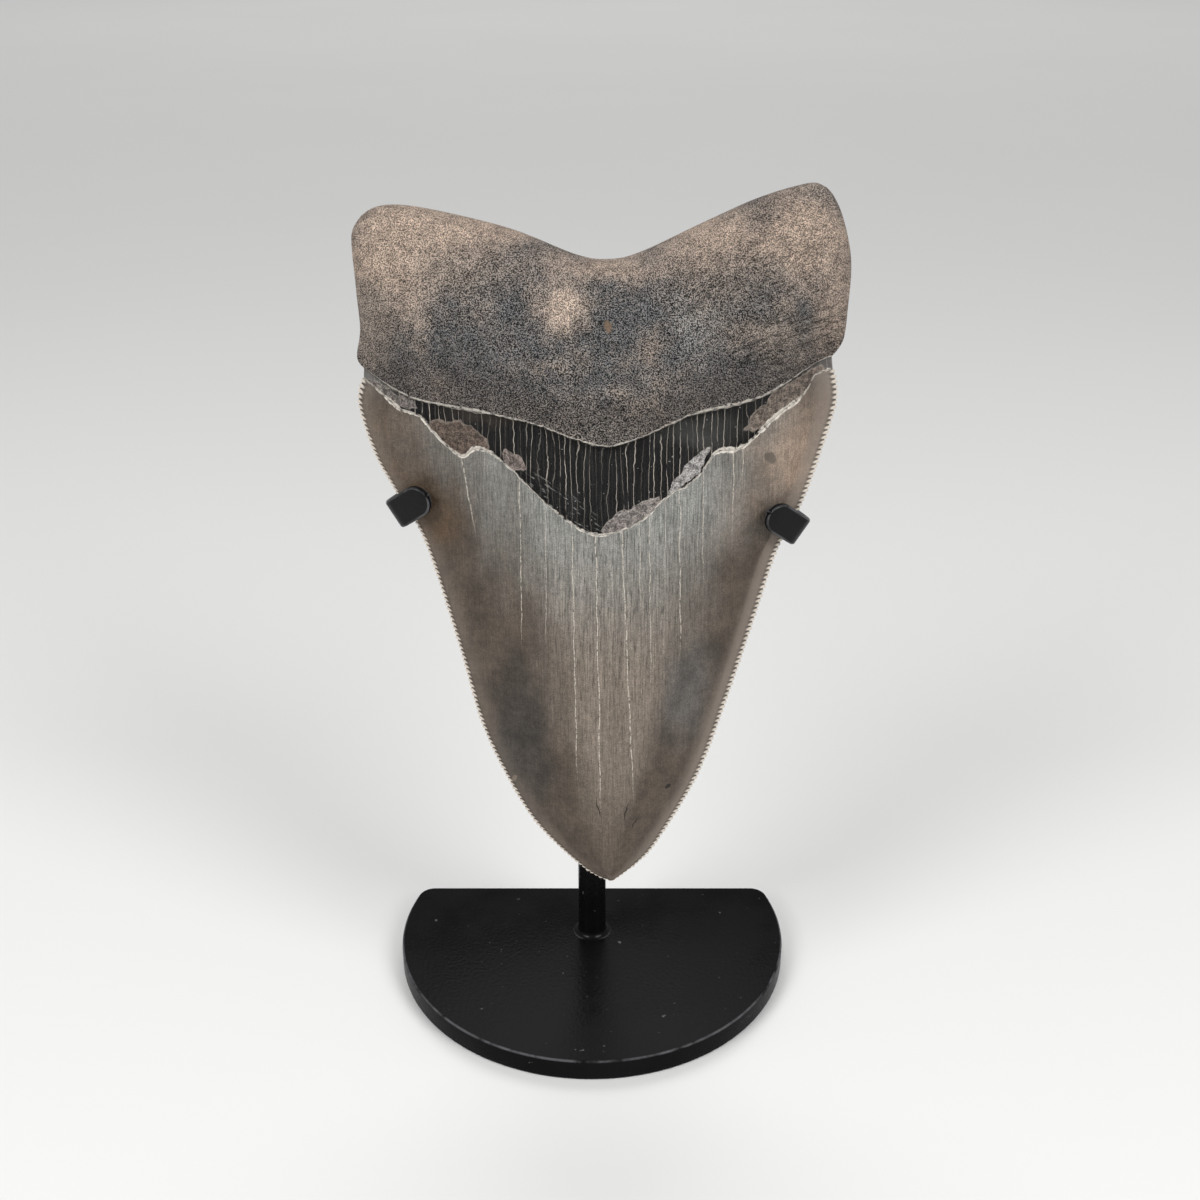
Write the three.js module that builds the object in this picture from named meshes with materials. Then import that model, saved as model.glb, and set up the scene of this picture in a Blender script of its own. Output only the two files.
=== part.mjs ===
// A fossil shark tooth, held point down by two hooked straps on a small painted stand.
// Sizes are in millimetres, +Z is up and the tooth's rounded inner face looks along -Y.
// The origin is on the plate's underside, at the centre of its round part.
import * as THREE from 'three';

// Gap left between pieces that touch in the real object
const GAP = 0.4;

// Base plate: a disc with a straight back edge
const PLATE_RADIUS = 35;
const PLATE_THICKNESS = 4;
const PLATE_BACK = 13;
const PLATE_CORNER = 3;
const PLATE_BEVEL = 0.4;
const PLATE_STEPS = 88;
const CORNER_STEPS = 8;

// Where the tooth hangs: its tip, and how far its root leans back
const TIP = new THREE.Vector3(3.4, -22, PLATE_THICKNESS + 26.9);
const LEAN = THREE.MathUtils.degToRad(14);

// Post: a round rod with a weld fillet at its foot, bent back near its top to the tooth's lean
const POST_RADIUS = 2.5;
const POST_FILLET = 1;
const POST_BEND = 12;
const POST_ABOVE_ARMS = 7;
const POST_CHAMFER = 0.5;
const POST_SIDES = 24;
const FILLET_STEPS = 4;
const BEND_STEPS = 8;

// Arms: flat straps from the post to the two cutting edges, in the tooth's own u, v, w
const STRAP_WIDTH = 5;
const STRAP_THICKNESS = 1.2;
const ARMS_MEET_V = 80.2;
const ARMS_MEET_W = -6.6;
const LEFT_GRIP = new THREE.Vector2(-32.4, 61.9);
const RIGHT_GRIP = new THREE.Vector2(27.9, 59.2);
const GRIP_W = -2.1;
const HOOK_RADIUS = 2;
const HOOK_OPENING = THREE.MathUtils.degToRad(33);
const TAB_LENGTH = 6.6;
const TAB_STEPS = 8;

// Tooth: u runs across it, v from the tip to the root and w out of its inner face
const SERRATIONS = 116;
const SERRATION_DEPTH = 0.45;
const CROWN_ROWS = 29;
const ROOT_ROWS = 10;
const HALF_COLUMNS = 10;
const COLUMN_CROWDING = 0.7;
// Crown section: its swell at full height on each face, and how the swell grows and thins to the edge
const FULL_HEIGHT = 80;
const INNER_SWELL = 13.2;
const INNER_GROWTH = 0.6;
const INNER_THINNING = 1.25;
const OUTER_SWELL = 4;
const OUTER_GROWTH = 0.5;
// Root section: its middle plane, its two faces and how it rounds off
const NECK_SHARE = 0.35;
const ROOT_MIDDLE = 2.5;
const ROOT_INNER = 8.5;
const ROOT_BULGE = 4.5;
const ROOT_OUTER = 7.5;
const ROOT_TAPER = 0.2;
const SIDE_ROUNDING = 5;
const TOP_ROUNDING = 7;
// Ledges above and below the sunken band between enamel and root, and its rows as shares of its height
const BAND_RECESS = 0.5;
const ROOT_LEDGE = 0.6;
const BAND_ROWS = [0.12, 0.5, 0.88];

const { smoothstep, lerp } = THREE.MathUtils;

function spline(points) {
  return new THREE.SplineCurve(points.map(([u, v]) => new THREE.Vector2(u, v)));
}

// Cutting edges, from the tip up to the shoulders
const LEFT_EDGE = spline([[0, 0], [-4.1, 2.1], [-11.3, 9], [-15.8, 15.9], [-20.7, 26.6], [-24.3, 39.9],
  [-29.4, 56.7], [-33.6, 64.3], [-36.9, 70.5], [-39.1, 78], [-38.4, 82]]);
const RIGHT_EDGE = spline([[0, 0], [4.4, 3.5], [7.7, 7.6], [13.9, 18.6], [18.6, 32], [22.7, 45.1],
  [25.9, 55.4], [29.7, 63], [33.4, 74.3], [34.5, 79.2], [33.9, 83.4]]);
// Sides and top of the root
const ROOT_LEFT = spline([[-38.3, 83.4], [-39.3, 85.2], [-38.5, 89.5], [-38.7, 95], [-39.2, 101.4],
  [-39, 104], [-37.7, 106.1]]);
const ROOT_RIGHT = spline([[33.7, 85.2], [35.4, 88], [35.7, 94], [35.8, 99.1], [35.2, 102.9],
  [34.1, 106.6], [32.8, 109.2]]);
const ROOT_TOP = spline([[-37.7, 106.1], [-35.4, 107.4], [-31.8, 107.7], [-25.9, 106.8], [-15.2, 104.2],
  [-5.6, 100.5], [-0.8, 99.8], [4, 100.8], [13.6, 105.2], [21.9, 108.8], [29, 110.8], [31.4, 110.4],
  [32.8, 109.2]]);
// Inner face: the enamel's upper edge and the root's lower edge, left to right
const INNER_ENAMEL = spline([[-38.4, 82], [-34.2, 78.7], [-29.2, 76.4], [-23.4, 70.9], [-19, 71.2],
  [-14.8, 68.5], [-10.2, 63.9], [-4.5, 59.8], [-0.9, 59.2], [3.9, 61], [9, 65.5], [13.5, 68.6],
  [16, 71.5], [19.6, 71.9], [24.6, 76.2], [29.2, 79.6], [33.9, 83.4]]);
const INNER_ROOT = spline([[-38.3, 83.4], [-33.8, 80.6], [-29.2, 78.8], [-20.3, 77.4], [-12.1, 75.8],
  [-6.1, 73.7], [-0.9, 72.5], [3.8, 73.7], [8.8, 75.8], [12.3, 77.2], [20.9, 78.9], [25.8, 81.1],
  [31, 84.2], [33.7, 85.2]]);
// Outer face: the same two lines, much shallower and close together
const OUTER_ENAMEL = spline([[-38.4, 82], [-28, 79.5], [-14, 77], [-1, 75.8], [12, 77.5], [25, 80.5],
  [33.9, 83.4]]);
const OUTER_ROOT = spline([[-38.3, 83.4], [-28, 81.2], [-14, 78.8], [-1, 77.6], [12, 79.3], [25, 82.2],
  [33.7, 85.2]]);

// Turns the tooth's u, v, w into the object's x, y, z
const TOOTH_FRAME = new THREE.Matrix4().makeBasis(
  new THREE.Vector3(1, 0, 0),
  new THREE.Vector3(0, Math.sin(LEAN), Math.cos(LEAN)),
  new THREE.Vector3(0, -Math.cos(LEAN), Math.sin(LEAN)),
).setPosition(TIP);

function paintedMesh(name, geometry, color, roughness, metalness) {
  const mesh = new THREE.Mesh(geometry, new THREE.MeshStandardMaterial({ color, roughness, metalness }));
  mesh.name = name;
  mesh.material.name = name;
  return mesh;
}

function blackPaint(name, geometry) {
  return paintedMesh(name, geometry, '#141415', 0.45, 0.2);
}

// Closed surface collected point by point
function surface() {
  const positions = [];
  const triangles = [];
  return {
    point(vector) {
      positions.push(vector.x, vector.y, vector.z);
      return positions.length / 3 - 1;
    },
    triangle(a, b, c) {
      if (a !== b && b !== c && c !== a) triangles.push(a, b, c);
    },
    geometry() {
      const result = new THREE.BufferGeometry();
      result.setAttribute('position', new THREE.Float32BufferAttribute(positions, 3));
      result.setIndex(triangles);
      result.computeVertexNormals();
      return result;
    },
  };
}

// Fills the strip between two lines of points that run the same way, whatever their counts
function fillStrip(target, left, right, outward) {
  let i = 0;
  let j = 0;
  while (i < left.length - 1 || j < right.length - 1) {
    const leftNext = (i + 1) * (right.length - 1);
    const rightNext = (j + 1) * (left.length - 1);
    const moveLeft = i < left.length - 1 && (leftNext <= rightNext || j === right.length - 1);
    const next = moveLeft ? left[i + 1] : right[j + 1];
    if (outward) target.triangle(left[i], right[j], next);
    else target.triangle(right[j], left[i], next);
    if (moveLeft) i += 1;
    else j += 1;
  }
}

// Joins a row of closed rings into a tube with flat ends
function tube(rings) {
  const target = surface();
  const rows = rings.map((ring) => ring.map((point) => target.point(point)));
  const count = rows[0].length;
  for (let i = 0; i + 1 < rows.length; i += 1) {
    for (let k = 0; k < count; k += 1) {
      const next = (k + 1) % count;
      target.triangle(rows[i][k], rows[i][next], rows[i + 1][next]);
      target.triangle(rows[i][k], rows[i + 1][next], rows[i + 1][k]);
    }
  }
  const last = rows[rows.length - 1];
  for (let k = 1; k + 1 < count; k += 1) {
    target.triangle(rows[0][0], rows[0][k + 1], rows[0][k]);
    target.triangle(last[0], last[k], last[k + 1]);
  }
  return target.geometry();
}

// Point of a patch bounded by four curves: across is -1 to 1, up is 0 to 1
function patchPoint(patch, across, up) {
  const share = (across + 1) / 2;
  const bend = (side) => side(up).sub(side(0).lerp(side(1), up));
  return patch.bottom(share).lerp(patch.top(share), up)
    .addScaledVector(bend(patch.left), 1 - share)
    .addScaledVector(bend(patch.right), share);
}

function along(curve) {
  return (share) => curve.getPointAt(share);
}

function straight(from, to) {
  return (share) => from.clone().lerp(to, share);
}

function facePatches(enamel, root) {
  const left = straight(enamel.getPointAt(0), root.getPointAt(0));
  const right = straight(enamel.getPointAt(1), root.getPointAt(1));
  return {
    crown: {
      bottom: () => new THREE.Vector2(), top: along(enamel), left: along(LEFT_EDGE), right: along(RIGHT_EDGE),
    },
    band: { bottom: along(enamel), top: along(root), left, right },
    root: { bottom: along(root), top: along(ROOT_TOP), left: along(ROOT_LEFT), right: along(ROOT_RIGHT) },
  };
}

// Rows of the tooth's mesh, from just above the tip to the root's top
function toothRows() {
  const rows = [];
  for (let i = 1; i <= CROWN_ROWS; i += 1) rows.push({ part: 'crown', up: i / CROWN_ROWS, lift: 0 });
  for (const up of BAND_ROWS) rows.push({ part: 'band', up, lift: -BAND_RECESS });
  for (let i = 0; i <= ROOT_ROWS; i += 1) {
    const up = Math.sin((Math.PI / 2) * (i / ROOT_ROWS));
    rows.push({ part: 'root', up, lift: i === 0 ? ROOT_LEDGE : 0 });
  }
  return rows;
}

// The root rounds off towards its sides and its top
function rootRounding(across, up) {
  const sides = Math.sqrt(1 - Math.abs(across) ** SIDE_ROUNDING);
  const top = Math.sqrt(1 - up ** TOP_ROUNDING);
  return sides * top * (1 - ROOT_TAPER * up);
}

// How far the root has taken over from the crown's section
function rootShare(row) {
  return row.part === 'root' ? smoothstep(row.up, 0, NECK_SHARE) : 0;
}

function innerDepth(row, across, v) {
  const fade = 1 - across ** 6;
  const swollen = INNER_SWELL * (v / FULL_HEIGHT) ** INNER_GROWTH;
  const crown = swollen * (1 - across ** 2) ** INNER_THINNING;
  const swell = ROOT_INNER + ROOT_BULGE * (1 - across ** 2);
  const root = ROOT_MIDDLE + swell * rootRounding(across, row.up);
  return lerp(crown + row.lift * fade, root, rootShare(row));
}

function outerDepth(row, across, v) {
  const crown = -OUTER_SWELL * (v / FULL_HEIGHT) ** OUTER_GROWTH * (1 - across ** 2);
  const root = ROOT_MIDDLE - ROOT_OUTER * rootRounding(across, row.up);
  return lerp(crown, root, rootShare(row));
}

// Serrated cutting edge: a small tooth stands out at every second point
function serratedEdge(target, edge, tip, outwardSign) {
  const count = 2 * SERRATIONS;
  const line = [tip];
  for (let i = 1; i <= count; i += 1) {
    const tangent = edge.getTangentAt(i / count);
    const outward = new THREE.Vector2(tangent.y, -tangent.x).multiplyScalar(outwardSign);
    const point = edge.getPointAt(i / count).addScaledVector(outward, i % 2 ? SERRATION_DEPTH : 0);
    line.push(target.point(new THREE.Vector3(point.x, point.y, 0)));
  }
  return line;
}

// Left or right border of the tooth: for each row, the points up to it from the row below
function toothBorder(target, rows, tip, edge, patches, across) {
  const serrated = serratedEdge(target, edge, tip, across);
  const steps = (serrated.length - 1) / CROWN_ROWS;
  let last = tip;
  return rows.map((row, index) => {
    if (row.part === 'crown') {
      last = serrated[(index + 1) * steps];
      return serrated.slice(index * steps, (index + 1) * steps + 1);
    }
    const flat = patchPoint(patches[row.part], across, row.up);
    const from = last;
    last = target.point(new THREE.Vector3(flat.x, flat.y, ROOT_MIDDLE * rootShare(row)));
    return [from, last];
  });
}

function addToothFace(target, rows, columns, borders, patches, depth, outward, topRow) {
  const inside = rows.map((row) => columns.map((across) => {
    if (row.part === 'root' && row.up === 1) return null;
    const flat = patchPoint(patches[row.part], across, row.up);
    return target.point(new THREE.Vector3(flat.x, flat.y, depth(row, across, Math.max(flat.y, 0))));
  }));
  inside[rows.length - 1] = topRow;
  rows.forEach((row, index) => {
    const lines = columns.map((_, k) => [index ? inside[index - 1][k] : borders[0][0][0], inside[index][k]]);
    const strips = [borders[0][index], ...lines, borders[1][index]];
    for (let k = 0; k + 1 < strips.length; k += 1) fillStrip(target, strips[k], strips[k + 1], outward);
  });
}

function toothGeometry() {
  const target = surface();
  const rows = toothRows();
  const inner = facePatches(INNER_ENAMEL, INNER_ROOT);
  const outer = facePatches(OUTER_ENAMEL, OUTER_ROOT);
  const columns = [];
  for (let k = 1 - HALF_COLUMNS; k < HALF_COLUMNS; k += 1) {
    const share = k / HALF_COLUMNS;
    columns.push(lerp(share, Math.sin((Math.PI / 2) * share), COLUMN_CROWDING));
  }
  const tip = target.point(new THREE.Vector3());
  const borders = [
    toothBorder(target, rows, tip, LEFT_EDGE, inner, -1),
    toothBorder(target, rows, tip, RIGHT_EDGE, inner, 1),
  ];
  const topRow = columns.map((across) => {
    const flat = patchPoint(inner.root, across, 1);
    return target.point(new THREE.Vector3(flat.x, flat.y, ROOT_MIDDLE));
  });
  addToothFace(target, rows, columns, borders, inner, innerDepth, true, topRow);
  addToothFace(target, rows, columns, borders, outer, outerDepth, false, topRow);
  return target.geometry().applyMatrix4(TOOTH_FRAME);
}

function arcPoints(x, y, radius, from, to, count) {
  return Array.from({ length: count + 1 }, (_, i) => {
    const angle = lerp(from, to, i / count);
    return new THREE.Vector2(x + radius * Math.cos(angle), y + radius * Math.sin(angle));
  });
}

function plateGeometry() {
  const cornerY = PLATE_BACK - PLATE_CORNER;
  const cornerX = Math.sqrt((PLATE_RADIUS - PLATE_CORNER) ** 2 - cornerY ** 2);
  const turn = Math.atan2(cornerY, cornerX);
  const outline = new THREE.Shape([
    ...arcPoints(0, 0, PLATE_RADIUS, -Math.PI - turn, turn, PLATE_STEPS),
    ...arcPoints(cornerX, cornerY, PLATE_CORNER, turn, Math.PI / 2, CORNER_STEPS).slice(1),
    ...arcPoints(-cornerX, cornerY, PLATE_CORNER, Math.PI / 2, Math.PI - turn, CORNER_STEPS).slice(0, -1),
  ]);
  return new THREE.ExtrudeGeometry(outline, {
    depth: PLATE_THICKNESS - 2 * PLATE_BEVEL,
    bevelThickness: PLATE_BEVEL,
    bevelSize: PLATE_BEVEL,
    bevelOffset: -PLATE_BEVEL,
    bevelSegments: 2,
  }).translate(0, 0, PLATE_BEVEL);
}

// Ring of the post round a point of its axis
function postRing(centre, tangent, radius) {
  const across = new THREE.Vector3(1, 0, 0);
  const side = tangent.clone().cross(across);
  return Array.from({ length: POST_SIDES }, (_, i) => {
    const angle = (2 * Math.PI * i) / POST_SIDES;
    return centre.clone()
      .addScaledVector(across, radius * Math.cos(angle))
      .addScaledVector(side, radius * Math.sin(angle));
  });
}

function postGeometry() {
  const up = new THREE.Vector3(0, 0, 1);
  const leaning = new THREE.Vector3(0, Math.sin(LEAN), Math.cos(LEAN));
  const behind = ARMS_MEET_W - STRAP_THICKNESS / 2 - GAP - POST_RADIUS;
  const meetV = (behind * Math.cos(LEAN) - TIP.y) / Math.sin(LEAN);
  const corner = new THREE.Vector3(-TIP.x, meetV, behind).applyMatrix4(TOOTH_FRAME);
  const top = new THREE.Vector3(-TIP.x, ARMS_MEET_V + POST_ABOVE_ARMS, behind).applyMatrix4(TOOTH_FRAME);
  const rings = [];
  for (let i = 0; i <= FILLET_STEPS; i += 1) {
    const rise = POST_FILLET * (i / FILLET_STEPS) ** 2;
    const flare = POST_FILLET - Math.sqrt(POST_FILLET ** 2 - (POST_FILLET - rise) ** 2);
    rings.push(postRing(new THREE.Vector3(0, 0, PLATE_THICKNESS + rise), up, POST_RADIUS + flare));
  }
  const bend = new THREE.QuadraticBezierCurve3(
    corner.clone().addScaledVector(up, -POST_BEND),
    corner,
    corner.clone().addScaledVector(leaning, POST_BEND),
  );
  for (let i = 0; i <= BEND_STEPS; i += 1) {
    const share = i / BEND_STEPS;
    rings.push(postRing(bend.getPoint(share), bend.getTangent(share), POST_RADIUS));
  }
  rings.push(postRing(top.clone().addScaledVector(leaning, -POST_CHAMFER), leaning, POST_RADIUS));
  rings.push(postRing(top, leaning, POST_RADIUS - POST_CHAMFER));
  return tube(rings);
}

// Side view of an arm, as stations along the strap: x runs away from the post and y is w
function strapStations(reach) {
  const rise = Math.atan2(GRIP_W - ARMS_MEET_W, reach);
  const start = new THREE.Vector2(0, ARMS_MEET_W);
  const bendStart = new THREE.Vector2(reach, GRIP_W);
  const heading = (angle) => new THREE.Vector2(Math.cos(angle), Math.sin(angle));
  const middle = bendStart.clone().addScaledVector(heading(rise + Math.PI / 2), HOOK_RADIUS);
  const turn = Math.PI - HOOK_OPENING;
  const stations = [{ centre: start, angle: rise, half: STRAP_WIDTH / 2 }];
  for (let i = 0; i <= BEND_STEPS; i += 1) {
    const angle = lerp(rise, turn, i / BEND_STEPS);
    const centre = middle.clone().addScaledVector(heading(angle - Math.PI / 2), HOOK_RADIUS);
    stations.push({ centre, angle, half: STRAP_WIDTH / 2 });
  }
  const tabStart = stations[stations.length - 1].centre;
  for (let i = 0; i < TAB_STEPS; i += 1) {
    const round = (Math.PI / 2) * (i / TAB_STEPS);
    const run = TAB_LENGTH - (STRAP_WIDTH / 2) * (1 - Math.sin(round));
    const centre = tabStart.clone().addScaledVector(heading(turn), run);
    stations.push({ centre, angle: turn, half: (STRAP_WIDTH / 2) * Math.cos(round) });
  }
  return stations;
}

// A strap from the post to its grip on the edge, with its end by the post cut upright
function armGeometry(grip) {
  const meet = new THREE.Vector2(-TIP.x, ARMS_MEET_V);
  const out = grip.clone().sub(meet);
  const reach = out.length();
  out.normalize();
  const side = new THREE.Vector2(-out.y, out.x);
  const startCut = (b) => (GAP / 2 + Math.sign(out.x) * -side.x * b) / Math.abs(out.x);
  const rings = strapStations(reach).map((station, index) => {
    const half = station.half;
    const corners = [[-half, -1], [half, -1], [half, 1], [-half, 1]];
    return corners.map(([b, face]) => {
      const shift = index === 0 ? startCut(b) : 0;
      const lift = (face * STRAP_THICKNESS) / 2;
      const a = station.centre.x + shift * Math.cos(station.angle) - lift * Math.sin(station.angle);
      const w = station.centre.y + shift * Math.sin(station.angle) + lift * Math.cos(station.angle);
      const flat = meet.clone().addScaledVector(out, a).addScaledVector(side, b);
      return new THREE.Vector3(flat.x, flat.y, w).applyMatrix4(TOOTH_FRAME);
    });
  });
  return tube(rings);
}

const tooth = paintedMesh('tooth', toothGeometry(), '#7c7266', 0.5, 0);
const basePlate = blackPaint('base_plate', plateGeometry());
const post = blackPaint('post', postGeometry());
const leftArm = blackPaint('left_arm', armGeometry(LEFT_GRIP));
const rightArm = blackPaint('right_arm', armGeometry(RIGHT_GRIP));

const part = new THREE.Group();
part.add(tooth, basePlate, post, leftArm, rightArm);
export default part;
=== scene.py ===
"""Looks for a fossil shark tooth on its painted stand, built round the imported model.

The tooth is one fine mesh, worked out in its own millimetres: u runs across it, v from the tip
to the root and w out of its rounded inner face. The stand's pieces are closed tubes with rounded
edges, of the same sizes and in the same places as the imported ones. All of it rides on one body.
"""
import math

import bpy
import numpy as np
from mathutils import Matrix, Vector


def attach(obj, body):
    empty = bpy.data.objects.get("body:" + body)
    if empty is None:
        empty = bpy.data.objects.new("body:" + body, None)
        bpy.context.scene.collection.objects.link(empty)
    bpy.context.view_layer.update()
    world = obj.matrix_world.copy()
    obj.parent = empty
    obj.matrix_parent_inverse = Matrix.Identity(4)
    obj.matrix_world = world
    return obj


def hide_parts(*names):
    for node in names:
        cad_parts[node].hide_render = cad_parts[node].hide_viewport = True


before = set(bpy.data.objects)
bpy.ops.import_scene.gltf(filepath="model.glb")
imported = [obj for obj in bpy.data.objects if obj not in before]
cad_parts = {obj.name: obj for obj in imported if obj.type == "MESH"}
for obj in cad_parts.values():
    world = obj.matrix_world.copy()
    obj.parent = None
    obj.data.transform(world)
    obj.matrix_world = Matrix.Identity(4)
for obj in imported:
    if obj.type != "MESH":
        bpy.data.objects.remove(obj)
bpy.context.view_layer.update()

MM = 0.001

# Camera, in millimetres from the middle of the plate's underside
CAMERA_PLACE = (1.45, -226.2, 177.8)
CAMERA_PITCH = math.radians(25.16)
CAMERA_LENS = 45
CAMERA_SENSOR = 36
CAMERA_NEAR = 10

# Studio, in metres: each light's name, place, what it looks at, width and watts
LIGHTS = [
    ("left_softbox", (-0.42, -0.38, 0.5), (0, -0.01, 0.09), 0.35, 2.7),
    ("right_softbox", (0.42, -0.38, 0.5), (0, -0.01, 0.09), 0.35, 2.7),
    ("back_softbox", (0, 2.6, 3.5), (0, 2.6, 0), 3, 65),
]
SKY_COLOR = (0.85, 0.85, 0.85, 1)
SKY_STRENGTH = 0.38
FLOOR_HALF = 8

# Stand, in millimetres
PLATE_RADIUS = 35
PLATE_THICKNESS = 4
PLATE_BACK = 13
PLATE_CORNER = 3
PLATE_ROUNDING = 0.45
POST_RADIUS = 2.5
POST_FILLET = 1
POST_BEND = 12
POST_ABOVE_ARMS = 7
POST_CHAMFER = 0.5
GAP = 0.4
STRAP_WIDTH = 5
STRAP_THICKNESS = 1.2
STRAP_ROUNDING = 0.5
ARMS_MEET_V = 80.2
ARMS_MEET_W = -6.6
LEFT_GRIP = (-32.4, 61.9)
RIGHT_GRIP = (27.9, 59.2)
GRIP_W = -2.1
HOOK_RADIUS = 2
HOOK_OPENING = math.radians(33)
TAB_LENGTH = 6.6

# Stand mesh: points round each curve
PLATE_STEPS = 180
PLATE_CORNER_STEPS = 12
POST_SIDES = 48
FILLET_STEPS = 8
BEND_STEPS = 16
HOOK_STEPS = 24
TAB_STEPS = 19
TAB_END_TURN = math.radians(86)
ROUNDING_STEPS = 5
STRAP_CORNER_STEPS = 4
STAND_SHARP = math.radians(50)

# Where the tooth hangs: its tip, and how far its root leans back
TIP = np.array([3.4, -22.0, PLATE_THICKNESS + 26.9])
LEAN = math.radians(14)
AXIS_U = np.array([1.0, 0.0, 0.0])
AXIS_V = np.array([0.0, math.sin(LEAN), math.cos(LEAN)])
AXIS_W = np.array([0.0, -math.cos(LEAN), math.sin(LEAN)])

# Tooth mesh: rows from tip to root, columns across, and finer steps along the cutting edges
SERRATIONS = 116
CROWN_ROWS = 2 * SERRATIONS
EDGE_STEPS = 3
FINE_STEPS = np.arange(1, CROWN_ROWS * EDGE_STEPS + 1) / (CROWN_ROWS * EDGE_STEPS)
BAND_ROWS = 28
ROOT_ROWS = 100
INNER_COLUMNS = 125
OUTER_COLUMNS = 63
STRIP_START = 0.95
STRIP_COLUMNS = 6
STRIP_CROWDING = 1.6
CURVE_STEPS = 200
EDGE_SAMPLES = 400
TOOTH_SHARP = math.radians(75)
# Mark of a point on the border of both faces, halfway from the outer to the inner
ON_BORDER = 0.5

# Tooth shape: sizes in millimetres, and the shares and powers that bend its curves
SERRATION_DEPTH = 0.4
SERRATION_REACH = 0.7
SERRATION_BEAD = 0.16
SERRATION_SIZES = (0.75, 1.0)
SERRATION_SHARPNESS = 0.8
SERRATION_SEED = 11
BEAD_START = 0.12
TIP_FADE = 40
FULL_HEIGHT = 80
INNER_SWELL = 13.2
INNER_GROWTH = 0.6
INNER_THINNING = 1.25
OUTER_SWELL = 4
OUTER_GROWTH = 0.5
NECK_SHARE = 0.5
ROOT_MIDDLE = 2.5
ROOT_INNER = 8.5
ROOT_BULGE = 4.5
ROOT_OUTER = 7.5
ROOT_TAPER = 0.2
SIDE_ROUNDING = 5
TOP_ROUNDING = 7
BAND_RECESS = 0.5
ROOT_LEDGE = 0.6
LEDGE_WIDTH = 0.4
LEDGE_FADE = 6
OUTER_LEDGE_SHARE = 0.2
FAR_FROM_EDGE = 20.0
# Lumps of the root's surface: height, size and seed
ROOT_LUMPS = [(0.22, 7.0, 3), (0.1, 2.4, 5), (0.05, 1.1, 9)]
LUMPS_FADE = 8
LUMPS_START = 0.1
LUMP_CELLS = 96
LUMP_ORIGIN = (48, 8)

# Colours of the tooth
TAN = (0.49, 0.378, 0.3)
SAND = (0.27, 0.225, 0.19)
BLUE_GREY = (0.103, 0.106, 0.109)
BROWN = (0.083, 0.075, 0.07)
CREAM = (0.58, 0.52, 0.45)
IVORY = (0.7, 0.65, 0.58)
CHARCOAL = (0.006, 0.0055, 0.0055)
# Grey of a painted sheen on the band's right part
SHEEN_GREY = (0.07, 0.07, 0.067)
ASH = (0.17, 0.165, 0.155)
UMBER = (0.08, 0.062, 0.048)
SLATE = (0.045, 0.039, 0.034)
PEARL = (0.242, 0.244, 0.229)
TAUPE = (0.193, 0.16, 0.13)
HONEY = (0.255, 0.185, 0.136)
WALNUT = (0.105, 0.075, 0.054)
HAZEL = (0.11, 0.087, 0.068)

# Colours of the stand and the floor
PAINT_BLACK = (0.0035, 0.0035, 0.0038)
PAINT_DARK = (0.006, 0.006, 0.0065)
# Rubbed grey on the rounded edges: a painted highlight, drawn as worn paint
PAINT_RUBBED_HIGHLIGHT = (0.09, 0.09, 0.095)
DUST = (0.12, 0.115, 0.11)
FLOOR_SHADE = (0.77, 0.77, 0.76)
FLOOR_PALE = (0.8, 0.8, 0.79)

# How the surfaces shine, and how deep their finest relief is, in metres
TOOTH_GLOSS = 0.2
ENAMEL_ROUGHNESS = 0.36
BAND_ROUGHNESS = 0.42
ROOT_ROUGHNESS = 0.75
PLATE_GLOSS = 0.05
ROD_GLOSS = 0.14
TOOTH_RELIEF = 0.0008
PEEL_DEPTH = 0.00004

# Broad patches of colour, with a painted shadow on the enamel and a painted sheen on the band: middle u and
# v, half sizes, colour and strength
ROOT_PATCHES = [
    ((-33, 101), (15, 14), TAN, 0.9),
    ((-22, 98), (13, 7), SAND, 0.75),
    ((15, 97), (13, 7), SAND, 0.65),
    ((-20, 104.5), (18, 6), TAN, 0.8),
    ((-16, 88), (10, 6), BLUE_GREY, 0.8),
    ((-7.7, 92.4), (6.2, 5.0), (0.53, 0.42, 0.345), 1.0),
    ((-2, 98.5), (16, 4), TAN, 0.65),
    ((14, 103), (13, 7), TAN, 0.75),
    ((28, 103), (12, 11), TAN, 0.85),
    ((34, 94), (6, 13), TAN, 0.6),
    ((-37, 90), (7, 10), SAND, 0.95),
    ((22.5, 106.3), (5.5, 2.4), BROWN, 0.45),
    ((24, 88), (10, 6), SAND, 0.8),
    ((12, 90), (8, 6), (0.235, 0.23, 0.22), 0.7),
    ((0, 77.5), (10, 4), BROWN, 0.6),
]
ENAMEL_PATCHES_AND_HOOK_SHADOW = [
    ((-33, 72), (9, 10), WALNUT, 0.8),
    ((27, 71), (11, 12), HONEY, 0.95),
    ((17, 62), (7, 9), SAND, 0.6),
    ((-14, 26), (8, 20), SLATE, 0.8),
    ((-16, 22), (5, 12), SLATE, 0.5),
    # Painted shadow of the left hook on the enamel below it
    ((-28, 62), (8, 9), (0.075, 0.048, 0.028), 0.95),
    ((11, 34), (8, 14), (0.105, 0.098, 0.092), 0.8),
]
BAND_PATCHES_AND_SHEEN = [
    # Painted sheen: smoky grey over the band's right part
    ((13, 74.5), (9, 4), SHEEN_GREY, 0.55),
    ((-20, 77), (8, 2.5), UMBER, 0.4),
]
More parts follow.
